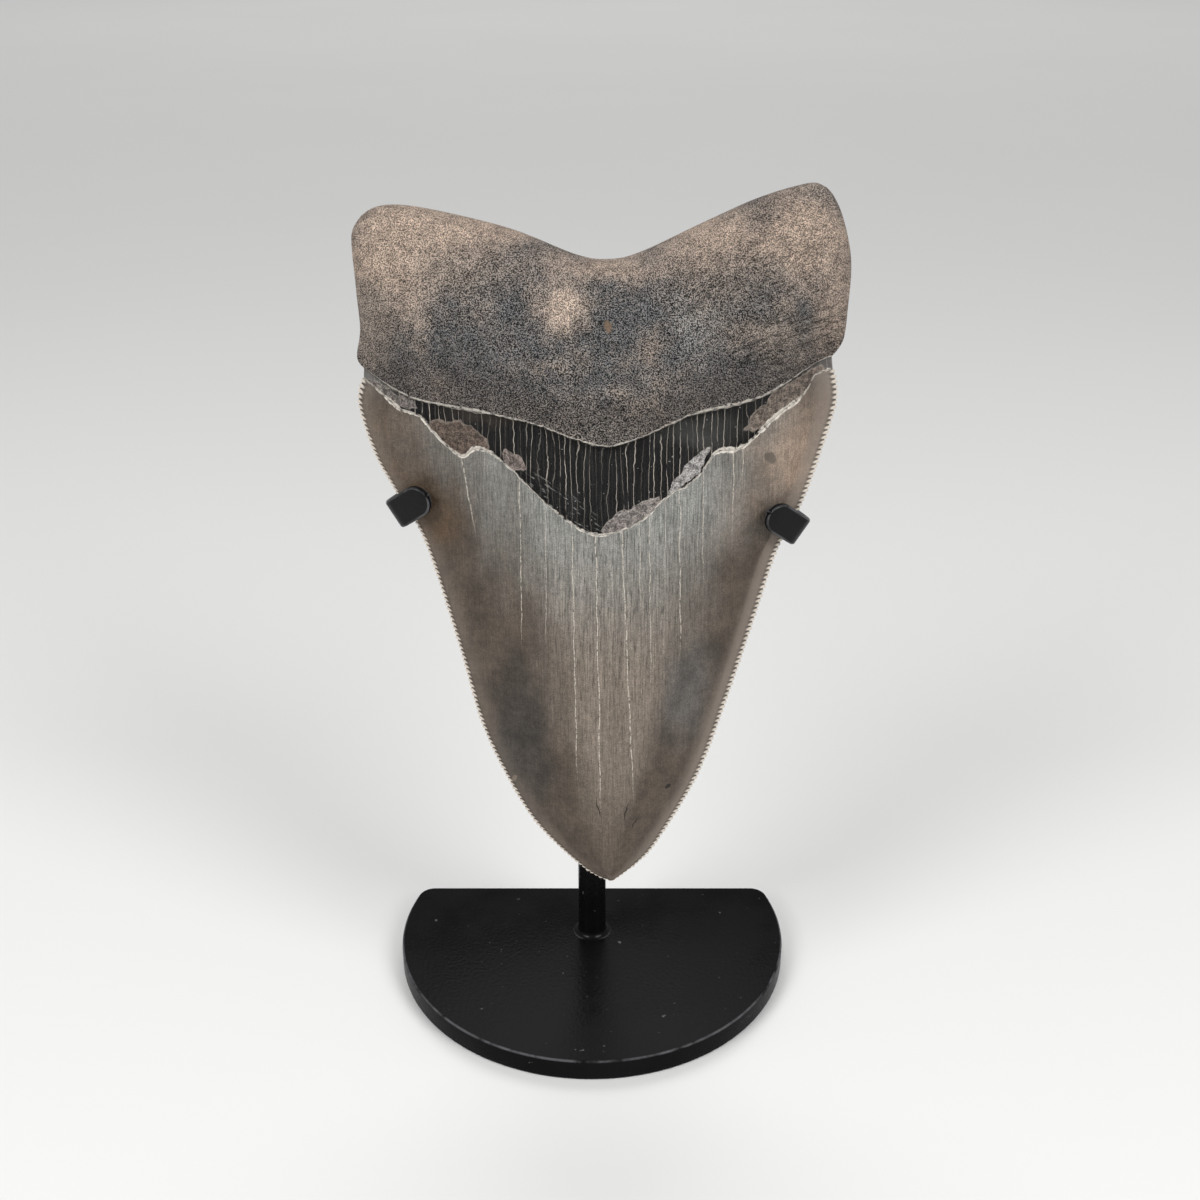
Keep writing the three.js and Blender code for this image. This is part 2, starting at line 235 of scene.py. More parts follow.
# Small marks: middle, half sizes, turn in degrees, colour
MARKS = [
    ((-0.8, 89.9), (0.7, 1.1), 10, (0.3, 0.2, 0.13)),
    ((-1.9, 90.6), (0.5, 0.3), 30, CHARCOAL),
    ((24.2, 70.0), (1.4, 1.0), -40, (0.1, 0.085, 0.07)),
    ((9.0, 16.9), (0.5, 0.35), 20, CHARCOAL),
    ((-2.3, 14.0), (0.14, 2.4), 12, CHARCOAL),
    ((2.2, 13.2), (0.13, 2.0), -14, CHARCOAL),
    ((3.6, 11.0), (0.12, 1.6), -24, CHARCOAL),
    ((-15.9, 17.6), (0.9, 0.45), 55, (0.2, 0.16, 0.125)),
]
# Broken patches along the enamel's upper edge: middle, half sizes, turn in degrees, colour
CHIPS = [
    ((-23.4, 73.4), (5.2, 2.4), -18, (0.105, 0.078, 0.063)),
    ((-14.9, 70.3), (2.2, 1.2), -40, (0.17, 0.14, 0.125)),
    ((2.8, 61.8), (5.0, 1.6), 28, (0.2, 0.178, 0.165)),
    ((11.4, 68.5), (4.8, 0.95), 46, (0.3, 0.288, 0.28)),
    ((26.4, 79.0), (8.0, 1.9), 36, (0.15, 0.122, 0.102)),
    ((-33.6, 79.4), (4.6, 0.9), -28, (0.17, 0.15, 0.137)),
]
# Cracks in the enamel: upper end, lower end, half width and strength
CRACKS = [
    ((-22.9, 70.6), (-20.9, 57.0), 0.13, 0.9),
    ((-14.0, 67.5), (-14.1, 40.0), 0.1, 0.9),
    ((-10.1, 64.0), (-10.3, 40.0), 0.08, 0.75),
    ((-6.2, 61.0), (-5.6, 18.0), 0.1, 0.95),
    ((-2.6, 59.2), (-1.8, 13.0), 0.12, 1.0),
    ((1.3, 59.8), (3.5, 14.0), 0.11, 0.95),
    ((4.0, 61.0), (4.3, 45.0), 0.08, 0.75),
    ((5.5, 62.1), (6.0, 32.0), 0.09, 0.85),
    ((7.9, 64.5), (8.0, 53.0), 0.08, 0.75),
    ((10.0, 65.9), (10.6, 38.0), 0.1, 0.9),
    ((13.6, 68.7), (14.0, 50.0), 0.09, 0.85),
    ((18.2, 71.8), (18.5, 58.5), 0.11, 0.9),
    ((19.7, 71.9), (19.8, 63.0), 0.1, 0.75),
]
# Creases in the root: turn in degrees, scales along and across, middle, half sizes, half width, strength
CREASES = [
    (16, (0.09, 0.7), (27, 88), (14, 6), 0.026, 0.85),
    (36, (0.12, 0.6), (19, 97), (20, 10), 0.03, 0.4),
]
# Pale flakes on the root's lower edge: middle and half sizes
FLAKES = ((-1, 73.5), (12, 2.4))
# Ledge in the band with painted glints: middle, half sizes and turn; the glints' turn, scales along and
# across
LEDGE_TURN = -36
LEDGE = ((-7.5, 63.8), (10, 2.2), LEDGE_TURN)
LEDGE_GLINTS = (LEDGE_TURN, 0.5, 2.4)

# Distances and heights in millimetres, most of them from where to where one look turns into another
ROOT_BROWN_HEIGHTS = (14.0, 5.0)
ROOT_BROWN_WANDER = 8.0
BAND_MIDDLE = -1.5
BAND_ENDS = (29, 37)
BAND_CRACK_SPACING = 0.95
BAND_CRACK_WIDTHS = (0.075, 0.01)
CRACK_START = (1.5, 0)
CRACK_TAIL = (-1, 8)
PEARL_HEIGHTS = (34, 66)
TIP_HEIGHTS = (26, 4)
STREAK_HEIGHTS = (-6, 54)
RIM_HIGHLIGHT_WIDTHS = (4.5, 0.6)
# Width of the painted shade in the gaps along the serrated edges
SERRATION_SHADE_WIDTHS = (0.9, 0.25)
CRUST_CENTRE = -3.0
CRUST_ASIDE = 24
CRUST_REACH = (11, 5)
# Pale lines along the borders: lift and half width
ENAMEL_LINE = (0.0, 0.15)
ROOT_LINE = (-0.2, 0.12)
# Pale wedge of the enamel, as shares of the half width; it widens by a share for each millimetre up
RIDGE_MIDDLE = 0.05
RIDGE_REACH = 0.25
RIDGE_WIDENING = 0.0105

# Noises of the tooth: lumps a millimetre, octaves and roughness
GRAIN = (5.6, 1, 0.6)
WAVER = (0.9, 4, 0.6)
SPECKS = (1.7, 2)
ROOT_CLOUD = (0.12, 4, 0.65)
ROOT_TINT = (0.5, 4, 0.7)
ROOT_PITS = (0.8, 3, 0.6)
CREASE_NOISE = (1.0, 3, 0.6)
ENAMEL_CLOUD = (0.22, 5, 0.65)
ENAMEL_MOTTLE = (1.3, 3, 0.6)
LINE_SPREAD = (0.3, 4, 0.6)
CHIP_MOTTLE = (1.5, 4, 0.7)
# Streaks of the tooth: lumps a millimetre across and along, octaves and roughness
BAND_BREAKS = (0.7, 0.3, 3)
BAND_STREAK = (3.5, 0.15, 3)
CRACK_BREAKS = (1.2, 1.6, 3, 0.8)
ENAMEL_STREAK = (4.2, 0.09, 3, 0.7)
ENAMEL_STRIPE = (0.6, 0.05, 3)
ENAMEL_DASH = (5.0, 0.35, 2)
ENAMEL_RELIEF = (3.2, 0.06, 3)
# Lines that sway: reach, then as streaks; the ridge's reach is a share of the half width
BAND_SWAY = (1.8, 0.35, 0.08, 2)
BAND_SHAKE = (0.28, 0.5, 0.9, 3)
CRACK_SWAY = (0.7, 0.3, 0.22, 4, 0.6)
RIDGE_DRIFT = (0.5, 0.12, 0.06, 4, 0.6)
# Places pushed aside: reach, lumps a millimetre and octaves
WARP = (7, 0.14, 4.0)
JOG = (0.9, 0.8, 4.0)
FRAY = (2.0, 0.4, 2.5)
WAVER_REACH = 0.8
# Noises of the paint and the floor: lumps a metre, octaves and roughness
PAINT_DUST = (700, 2)
PAINT_PATCHES = (60, 4, 0.6)
PAINT_RUBBING_HIGHLIGHT = (250, 4, 0.6)
ORANGE_PEEL = (1500, 2)
FLOOR_NOISE = (3, 3)


# Curves

def spline(points):
    """Smooth curve through the points, as a function of the share of its length."""
    points = np.array(points, float)
    last = len(points) - 1
    place = np.linspace(0, last, CURVE_STEPS * last + 1)
    index = np.minimum(place.astype(int), last - 1)
    t = (place - index)[:, None]
    before = points[np.maximum(index - 1, 0)]
    start = points[index]
    end = points[index + 1]
    after = points[np.minimum(index + 2, last)]
    leave = (end - before) / 2
    arrive = (after - start) / 2
    path = (start + leave * t + (3 * (end - start) - 2 * leave - arrive) * t**2
            + (2 * (start - end) + leave + arrive) * t**3)
    steps = np.linalg.norm(np.diff(path, axis=0), axis=1)
    length = np.concatenate([[0], np.cumsum(steps)])

    def at(share):
        along = np.asarray(share, float) * length[-1]
        return np.stack([np.interp(along, length, path[:, k]) for k in (0, 1)], -1)

    return at


# Cutting edges, from the tip up to the shoulders
LEFT_EDGE = spline([
    (0, 0), (-4.1, 2.1), (-11.3, 9), (-15.8, 15.9), (-20.7, 26.6), (-24.3, 39.9), (-29.4, 56.7),
    (-33.6, 64.3), (-36.9, 70.5), (-39.1, 78), (-38.4, 82),
])
RIGHT_EDGE = spline([
    (0, 0), (4.4, 3.5), (7.7, 7.6), (13.9, 18.6), (18.6, 32), (22.7, 45.1), (25.9, 55.4),
    (29.7, 63), (33.4, 74.3), (34.5, 79.2), (33.9, 83.4),
])
# Sides and top of the root
ROOT_LEFT = spline([
    (-38.3, 83.4), (-39.3, 85.2), (-38.5, 89.5), (-38.7, 95), (-39.2, 101.4), (-39, 104),
    (-37.7, 106.1),
])
ROOT_RIGHT = spline([
    (33.7, 85.2), (35.4, 88), (35.7, 94), (35.8, 99.1), (35.2, 102.9), (34.1, 106.6), (32.8, 109.2),
])
ROOT_TOP = spline([
    (-37.7, 106.1), (-35.4, 107.4), (-31.8, 107.7), (-25.9, 106.8), (-15.2, 104.2), (-5.6, 100.5),
    (-0.8, 99.8), (4, 100.8), (13.6, 105.2), (21.9, 108.8), (29, 110.8), (31.4, 110.4),
    (32.8, 109.2),
])
# Inner face: the enamel's upper edge and the root's lower edge, left to right
INNER_ENAMEL = spline([
    (-38.4, 82), (-34.2, 78.7), (-32.6, 77.4), (-29.2, 76.4), (-27.1, 73.9), (-23.0, 70.6),
    (-20.8, 71.8), (-18.3, 71.3), (-14.8, 68.5), (-10.2, 63.9), (-4.5, 59.8), (-0.9, 59.2),
    (3.9, 61), (9, 65.5), (11.1, 66.3), (13.5, 68.6), (15.7, 71.4), (19.6, 71.9), (24.6, 76.2),
    (29.2, 79.6), (31, 82.4), (33.9, 83.4),
])
INNER_ROOT = spline([
    (-38.3, 83.4), (-33.8, 80.6), (-29.2, 78.8), (-20.3, 77.4), (-12.1, 75.8), (-6.1, 73.7),
    (-0.9, 72.5), (3.8, 73.7), (8.8, 75.8), (12.3, 77.2), (20.9, 78.9), (25.8, 81.1), (31, 84.2),
    (33.7, 85.2),
])
# Outer face: the same two lines, much shallower and close together
OUTER_ENAMEL = spline([
    (-38.4, 82), (-28, 79.5), (-14, 77), (-1, 75.8), (12, 77.5), (25, 80.5), (33.9, 83.4),
])
OUTER_ROOT = spline([
    (-38.3, 83.4), (-28, 81.2), (-14, 78.8), (-1, 77.6), (12, 79.3), (25, 82.2), (33.7, 85.2),
])


def smoothstep(value, low, high):
    share = np.clip((value - low) / (high - low), 0, 1)
    return share * share * (3 - 2 * share)


def between_edges(flat):
    """Place across the crown at each point's own height: -1 at the left edge, 1 at the right."""
    shares = np.linspace(0, 1, EDGE_SAMPLES)
    left = LEFT_EDGE(shares)
    right = RIGHT_EDGE(shares)
    low = np.interp(flat[..., 1], left[:, 1], left[:, 0])
    high = np.interp(flat[..., 1], right[:, 1], right[:, 0])
    smallest = 0.01
    half = np.maximum((high - low) / 2, smallest)
    return np.clip((flat[..., 0] - (low + high) / 2) / half, -1, 1)


def to_world(points):
    """The tooth's u, v, w in millimetres as the object's x, y, z in metres."""
    u, v, w = np.moveaxis(np.asarray(points, float), -1, 0)
    place = TIP + u[..., None] * AXIS_U + v[..., None] * AXIS_V + w[..., None] * AXIS_W
    return place * MM


def soft_noise(u, v, size, seed):
    """Smooth noise from -1 to 1 over the tooth's plane, with lumps of that size."""
    grid = np.random.default_rng(seed).uniform(-1, 1, (LUMP_CELLS, LUMP_CELLS))
    x = np.asarray(u, float) / size + LUMP_ORIGIN[0]
    y = np.asarray(v, float) / size + LUMP_ORIGIN[1]
    column = np.clip(np.floor(x).astype(int), 0, LUMP_CELLS - 2)
    row = np.clip(np.floor(y).astype(int), 0, LUMP_CELLS - 2)
    across = smoothstep(x - column, 0, 1)
    up = smoothstep(y - row, 0, 1)
    low = grid[row, column] * (1 - across) + grid[row, column + 1] * across
    high = grid[row + 1, column] * (1 - across) + grid[row + 1, column + 1] * across
    return low * (1 - up) + high * up


# Tooth mesh

class ToothFace:
    """One face of the tooth: where its points lie and how far each is from the drawn lines."""

    def __init__(self, enamel, root, is_inner):
        self.enamel = enamel
        self.root = root
        self.is_inner = is_inner
        self.side = 1 if is_inner else -1
        self.ledge_share = 1 if is_inner else -OUTER_LEDGE_SHARE

    def borders(self, part):
        """Bottom, top, left and right curves of one part of the face."""
        if part == "crown":
            return (lambda share: np.zeros(np.shape(share) + (2,))), self.enamel, LEFT_EDGE, RIGHT_EDGE
        if part == "root":
            return self.root, ROOT_TOP, ROOT_LEFT, ROOT_RIGHT

        def side(share, at):
            up = np.asarray(share, float)[..., None]
            return self.enamel(at) * (1 - up) + self.root(at) * up

        return self.enamel, self.root, (lambda s: side(s, 0.0)), (lambda s: side(s, 1.0))

    def flat(self, part, across, up):
        """Place on the tooth's plane: a patch stretched between the part's four curves."""
        bottom, top, left, right = self.borders(part)
        share = (across + 1) / 2
        rise = up[..., None]

        def bend(side):
            return side(up) - (1 - rise) * side(np.zeros(())) - rise * side(np.ones(()))

        return ((1 - rise) * bottom(share) + rise * top(share)
                + (1 - share)[..., None] * bend(left) + share[..., None] * bend(right))

    def band_height(self, across):
        share = (across + 1) / 2
        return np.linalg.norm(self.root(share) - self.enamel(share), axis=-1)

    def crown_depth(self, flat):
        height = np.maximum(flat[..., 1], 0) / FULL_HEIGHT
        inside = 1 - between_edges(flat) ** 2
        if self.is_inner:
            return INNER_SWELL * height**INNER_GROWTH * inside**INNER_THINNING
        return -OUTER_SWELL * height**OUTER_GROWTH * inside

    def root_depth(self, across, up):
        sides = np.sqrt(1 - np.abs(across) ** SIDE_ROUNDING)
        top = np.sqrt(np.maximum(1 - up**TOP_ROUNDING, 0))
        rounding = sides * top * (1 - ROOT_TAPER * up)
        if self.is_inner:
            return ROOT_MIDDLE + (ROOT_INNER + ROOT_BULGE * (1 - across**2)) * rounding
        return ROOT_MIDDLE - ROOT_OUTER * rounding

    def points(self, part, across, up):
        """Each point's u, v, w, then its numbers: above the enamel, above the band, from the edge, bead."""
        across = np.asarray(across, float)
        up = np.broadcast_to(np.asarray(up, float), across.shape)
        flat = self.flat(part, across, up)
        edge = np.full(across.shape, FAR_FROM_EDGE)
        bead = np.zeros(across.shape)
        if part == "crown":
            edge = (1 - np.abs(across)) / 2 * np.linalg.norm(RIGHT_EDGE(up) - LEFT_EDGE(up), axis=-1)
            bead = serration(up) * np.exp(-((edge / SERRATION_REACH) ** 2))
            flat = flat + edge_normal(across, up) * (SERRATION_DEPTH * bead)[..., None]
            swell = bead * (1 - np.exp(-edge / BEAD_START)) * np.minimum(up * TIP_FADE, 1)
            depth, above_enamel, above_band = self.crown_surface(flat, across, swell)
        elif part == "band":
            depth, above_enamel, above_band = self.band_surface(flat, across, up)
        else:
            depth, above_enamel, above_band = self.root_surface(flat, across, up)
        return np.concatenate([flat, np.stack([depth, above_enamel, above_band, edge, bead], -1)], -1)

    def crown_surface(self, flat, across, swell):
        depth = self.crown_depth(flat) + self.side * SERRATION_BEAD * swell
        above_enamel = -np.linalg.norm(flat - self.enamel((across + 1) / 2), axis=-1)
        return depth, above_enamel, above_enamel - self.band_height(across)

    def band_surface(self, flat, across, up):
        """The band, sunk below the enamel, with the root's ledge over it."""
        height = self.band_height(across)
        above_enamel = up * height
        above_band = -(1 - up) * height
        sunk = smoothstep(above_enamel, 0, LEDGE_WIDTH) * -BAND_RECESS
        ledge = smoothstep(above_band, -LEDGE_WIDTH, 0) * (BAND_RECESS + ROOT_LEDGE)
        fade = 1 - across**LEDGE_FADE
        depth = self.crown_depth(flat) + self.ledge_share * fade * (sunk + ledge)
        return depth, above_enamel, above_band

    def root_surface(self, flat, across, up):
        """The root, which swells out of the crown's own curve."""
        above_band = np.linalg.norm(flat - self.root((across + 1) / 2), axis=-1)
        above_enamel = above_band + self.band_height(across)
        share = smoothstep(up, 0, NECK_SHARE)
        neck = self.crown_depth(flat) + self.ledge_share * ROOT_LEDGE * (1 - across**LEDGE_FADE)
        depth = neck * (1 - share) + self.root_depth(across, up) * share
        return depth + self.root_relief(flat, across, up), above_enamel, above_band

    def root_relief(self, flat, across, up):
        """Low lumps of the root's surface, gone at its outline."""
        u, v = flat[..., 0], flat[..., 1]
        lumps = sum(height * soft_noise(u, v, size, seed) for height, size, seed in ROOT_LUMPS)
        inside = (1 - across**LUMPS_FADE) * (1 - up**LUMPS_FADE) * smoothstep(up, 0, LUMPS_START)
        return self.side * lumps * inside


def serration(up):
    """Height of the serrations along an edge, each a little different."""
    place = np.asarray(up, float) * SERRATIONS
    sizes = np.random.default_rng(SERRATION_SEED).uniform(*SERRATION_SIZES, SERRATIONS + 1)
    size = sizes[np.minimum(place.astype(int), SERRATIONS)]
    return size * np.abs(np.sin(np.pi * place)) ** SERRATION_SHARPNESS


def edge_normal(across, up):
    """Direction out of the nearer cutting edge, in the tooth's plane."""
    step = 0.002
    low = np.maximum(up - step, 0)
    high = np.minimum(up + step, 1)
    is_left = (across < 0)[..., None]
    along = np.where(is_left, LEFT_EDGE(high) - LEFT_EDGE(low), RIGHT_EDGE(high) - RIGHT_EDGE(low))
    along = along / np.linalg.norm(along, axis=-1, keepdims=True)
    out = np.stack([along[..., 1], -along[..., 0]], -1)
    return np.where(is_left, -out, out)


def fill_strip(faces, left, right, outward):
    """Faces between two lines of points that run the same way, whatever their counts."""
    if len(left) == 2 and len(right) == 2 and left[0] != right[0]:
        quad = (left[0], right[0], right[1], left[1])
        faces.append(quad if outward else quad[::-1])
        return
    i = j = 0
    while i < len(left) - 1 or j < len(right) - 1:
        left_next = (i + 1) * (len(right) - 1)
        right_next = (j + 1) * (len(left) - 1)
        move_left = i < len(left) - 1 and (left_next <= right_next or j == len(right) - 1)
        corner = left[i + 1] if move_left else right[j + 1]
        triangle = (left[i], right[j], corner)
        if len(set(triangle)) == 3:
            faces.append(triangle if outward else triangle[::-1])
        if move_left:
            i += 1
        else:
            j += 1


class ToothMesh:
    """Collects the tooth's points and faces."""

    def __init__(self):
        self.rows = []
        self.count = 0
        self.faces = []

    def add(self, points, is_inner):
        """Adds points, marked 1 on the inner face, 0 on the outer or between on the border of both."""
        points = np.asarray(points, float)
        flags = np.full(points.shape[:-1] + (1,), is_inner, float)
        self.rows.append(np.concatenate([points, flags], -1).reshape(-1, points.shape[-1] + 1))
        start = self.count
        self.count += len(self.rows[-1])
        return np.arange(start, self.count).reshape(points.shape[:-1])


def crowded(share):
    """Share of the way up, with steps drawn closer together towards both ends."""
    return (1 - math.cos(math.pi * share)) / 2


def tooth_rows():
    """Part and height of each row of the mesh above the tip."""
    rows = [("crown", (i + 1) / CROWN_ROWS) for i in range(CROWN_ROWS)]
    rows += [("band", crowded((i + 1) / (BAND_ROWS + 1))) for i in range(BAND_ROWS)]
    rows += [("root", crowded(i / ROOT_ROWS)) for i in range(ROOT_ROWS + 1)]
    return rows


def crown_column(mesh, face, across, tip, flag):
    """Fine points up one column of the crown from the tip, as one short line for each row."""
    chain = [tip, *mesh.add(face.points("crown", np.full(FINE_STEPS.shape, across), FINE_STEPS), flag)]
    return [chain[EDGE_STEPS * i:EDGE_STEPS * (i + 1) + 1] for i in range(CROWN_ROWS)]


def edge_border(mesh, face, across, tip):
    """The shared border on one side: for each row, the points up to it from the row below."""
    border = crown_column(mesh, face, across, tip, ON_BORDER)
    for part, up in tooth_rows()[CROWN_ROWS:]:
        point = mesh.add(face.points(part, np.array([across]), np.array([up])), ON_BORDER)[0]
        border.append([border[-1][-1], point])
    return border


def inside_columns(count):
    """Column places: even inside, crowded towards the two edges."""
    middle = np.linspace(-STRIP_START, STRIP_START, count)
    share = np.arange(1, STRIP_COLUMNS + 1) / (STRIP_COLUMNS + 1)
    crowd = 1 - (1 - STRIP_START) * (1 - share) ** STRIP_CROWDING
    return -crowd[::-1], middle, crowd


def add_face(mesh, face, count, borders, tip, top_row):
    """One face: fine strips along the cutting edges and a coarser grid between them."""
    flag = 1.0 if face.is_inner else 0.0
    left, middle, right = inside_columns(count)
    strips = {place: crown_column(mesh, face, place, tip, flag) for place in (*left, *right)}
    places = np.concatenate([left, middle, right])
    below = [tip] * len(places)
    for index, (part, up) in enumerate(tooth_rows()[:-1]):
        is_crown = part == "crown"
        inside = mesh.add(face.points(part, middle if is_crown else places, np.array(up)), flag)
        lines = []
        for k, place in enumerate(places):
            if is_crown and place in strips:
                lines.append(strips[place][index])
            else:
                lines.append([below[k], inside[k - len(left)] if is_crown else inside[k]])
        below = [line[-1] for line in lines]
        lines = [borders[0][index], *lines, borders[1][index]]
        for first, second in zip(lines, lines[1:]):
            fill_strip(mesh.faces, first, second, face.is_inner)
    close_top(mesh, face, borders, below, top_row)


def close_top(mesh, face, borders, below, top_row):
    """The last strip, up to the root's top edge, filled from both sides to the middle."""
    lower = [borders[0][-1][0], *below, borders[1][-1][0]]
    upper = [borders[0][-1][1], *top_row, borders[1][-1][1]]
    low_middle = len(lower) // 2
    high_middle = len(upper) // 2
    fill_strip(mesh.faces, lower[:low_middle + 1], upper[:high_middle + 1], not face.is_inner)
    fill_strip(mesh.faces, lower[:low_middle - 1:-1], upper[:high_middle - 1:-1], face.is_inner)


def tooth_piece():
    mesh = ToothMesh()
    inner = ToothFace(INNER_ENAMEL, INNER_ROOT, True)
    outer = ToothFace(OUTER_ENAMEL, OUTER_ROOT, False)
    tip = mesh.add(inner.points("crown", np.array([0.0]), np.array([0.0])), ON_BORDER)[0]
    borders = [edge_border(mesh, inner, -1.0, tip), edge_border(mesh, inner, 1.0, tip)]
    places = np.concatenate(inside_columns(INNER_COLUMNS))
    top_row = list(mesh.add(inner.points("root", places, np.array(1.0)), ON_BORDER))
    add_face(mesh, inner, INNER_COLUMNS, borders, tip, top_row)
    add_face(mesh, outer, OUTER_COLUMNS, borders, tip, top_row)
    data = np.concatenate(mesh.rows)
    piece = new_piece("fossil_tooth", to_world(data[:, :3]), mesh.faces)
    store(piece, "place", data[:, :3])
    store(piece, "across", between_edges(data[:, :2]))
    for name, column in (("above_enamel", 3), ("above_band", 4), ("edge", 5), ("bead", 6), ("inner", 7)):
        store(piece, name, data[:, column])
    piece.data.set_sharp_from_angle(angle=TOOTH_SHARP)
    return piece


def new_piece(name, points, faces):
    """A smooth-shaded mesh object."""
    data = bpy.data.meshes.new(name)
    data.from_pydata([tuple(point) for point in points], [], [tuple(int(i) for i in face) for face in faces])
    data.shade_smooth()
    piece = bpy.data.objects.new(name, data)
    bpy.context.collection.objects.link(piece)
    return piece


def store(piece, name, values):
    """Keeps a number or a vector for each point, for the material to read."""
    kind = "FLOAT_VECTOR" if values.ndim == 2 else "FLOAT"
    attribute = piece.data.attributes.new(name, kind, "POINT")
    attribute.data.foreach_set("vector" if values.ndim == 2 else "value", values.astype(np.float32).ravel())


# Stand

def tube(name, rings, wear):
    """Closed tube through a row of rings, with flat ends; the last argument is how rubbed each point is,
    which the paint shows as a painted highlight along the rounded edges.
    """
    count = len(rings[0])
    faces = []
    for i in range(len(rings) - 1):
        for k in range(count):
            low = i * count + k
            near = i * count + (k + 1) % count
            faces.append((low, near, near + count, low + count))
    faces.append(tuple(range(count))[::-1])
    last = (len(rings) - 1) * count
    faces.append(tuple(range(last, last + count)))
    piece = new_piece(name, np.concatenate(rings) * MM, faces)
    store(piece, "wear", np.array(np.broadcast_to(wear, (len(rings), count))).ravel())
    piece.data.set_sharp_from_angle(angle=STAND_SHARP)
    return piece


def arc(x, y, radius, start, end, steps):
    angles = np.linspace(start, end, steps + 1)
    return np.stack([x + radius * np.cos(angles), y + radius * np.sin(angles)], -1)


def plate_outline(inset):
    """Outline of the plate, drawn in by a little: a disc with a straight back and round corners."""
    radius = PLATE_RADIUS - inset
    corner = PLATE_CORNER - inset
    corner_y = PLATE_BACK - PLATE_CORNER
    corner_x = math.sqrt((PLATE_RADIUS - PLATE_CORNER) ** 2 - corner_y**2)
    turn = math.atan2(corner_y, corner_x)
    return np.concatenate([
        arc(0, 0, radius, -math.pi - turn, turn, PLATE_STEPS),
        arc(corner_x, corner_y, corner, turn, math.pi / 2, PLATE_CORNER_STEPS)[1:],
        arc(-corner_x, corner_y, corner, math.pi / 2, math.pi - turn, PLATE_CORNER_STEPS)[:-1],
    ])


def plate_piece():
    """The plate, from the rounding of its lower edge to that of its upper edge."""
    rings = []
    wear = []
    turns = np.linspace(0, math.pi / 2, ROUNDING_STEPS + 1)
    for is_top in (False, True):
        for angle in (turns[::-1] if is_top else turns):
            rise = PLATE_ROUNDING * (1 - math.cos(angle))
            outline = plate_outline(PLATE_ROUNDING * (1 - math.sin(angle)))
            z = PLATE_THICKNESS - rise if is_top else rise
            rings.append(np.column_stack([outline, np.full(len(outline), z)]))
            wear.append([math.sin(2 * angle)])
    return tube("stand_plate", rings, wear)


def post_ring(centre, tangent, radius):
    side = np.cross(tangent, AXIS_U)
    angles = np.linspace(0, 2 * math.pi, POST_SIDES, endpoint=False)[:, None]
    return centre + radius * (np.cos(angles) * AXIS_U + np.sin(angles) * side)


def post_piece():
    """Round rod with a weld fillet at its foot, bent back to the tooth's lean."""
    up = np.array([0.0, 0.0, 1.0])
    behind = ARMS_MEET_W - STRAP_THICKNESS / 2 - GAP - POST_RADIUS
    meet_v = (behind * math.cos(LEAN) - TIP[1]) / math.sin(LEAN)
    corner = to_world((-TIP[0], meet_v, behind)) / MM
    top = to_world((-TIP[0], ARMS_MEET_V + POST_ABOVE_ARMS, behind)) / MM
    rings = []
    for share in np.linspace(0, 1, FILLET_STEPS + 1):
        rise = POST_FILLET * share**2
        flare = POST_FILLET - math.sqrt(POST_FILLET**2 - (POST_FILLET - rise) ** 2)
        rings.append(post_ring(np.array([0, 0, PLATE_THICKNESS + rise]), up, POST_RADIUS + flare))
    start = corner - POST_BEND * up
    end = corner + POST_BEND * AXIS_V
    for t in np.linspace(0, 1, BEND_STEPS + 1):
        centre = (1 - t) ** 2 * start + 2 * t * (1 - t) * corner + t**2 * end
        heading = (1 - t) * (corner - start) + t * (end - corner)
        rings.append(post_ring(centre, heading / np.linalg.norm(heading), POST_RADIUS))
    wear = [[0.0]] * len(rings)
    for angle in np.linspace(0, math.pi / 2, ROUNDING_STEPS + 1):
        centre = top - POST_CHAMFER * (1 - math.sin(angle)) * AXIS_V
        rings.append(post_ring(centre, AXIS_V, POST_RADIUS - POST_CHAMFER * (1 - math.cos(angle))))
        wear.append([math.sin(2 * angle)])
    return tube("stand_post", rings, wear)


def strap_stations(reach):
    """Side view of an arm along the strap: centre, heading and half width at each station."""
    half = STRAP_WIDTH / 2
    rise = math.atan2(GRIP_W - ARMS_MEET_W, reach)
    turn = math.pi - HOOK_OPENING

    def heading(angle):
        return np.array([math.cos(angle), math.sin(angle)])

    middle = np.array([reach, GRIP_W]) + HOOK_RADIUS * heading(rise + math.pi / 2)
    stations = [(np.array([0.0, ARMS_MEET_W]), rise, half)]
    for angle in np.linspace(rise, turn, HOOK_STEPS + 1):
        stations.append((middle + HOOK_RADIUS * heading(angle - math.pi / 2), angle, half))
    tab_start = stations[-1][0]
    for angle in np.linspace(0, TAB_END_TURN, TAB_STEPS + 1):
        run = TAB_LENGTH - half * (1 - math.sin(angle))
        stations.append((tab_start + run * heading(turn), turn, half * math.cos(angle)))
    return stations


def strap_section(half):
    """Cross-section of the strap: a flat bar with rounded corners."""
    most = 0.9 * half
    rounding = min(STRAP_ROUNDING, most)
    x = half - rounding
    y = STRAP_THICKNESS / 2 - rounding
    corners = [(x, -y, -90), (x, y, 0), (-x, y, 90), (-x, -y, 180)]
    return np.concatenate([
        arc(cx, cy, rounding, math.radians(turn), math.radians(turn + 90), STRAP_CORNER_STEPS)
        for cx, cy, turn in corners])


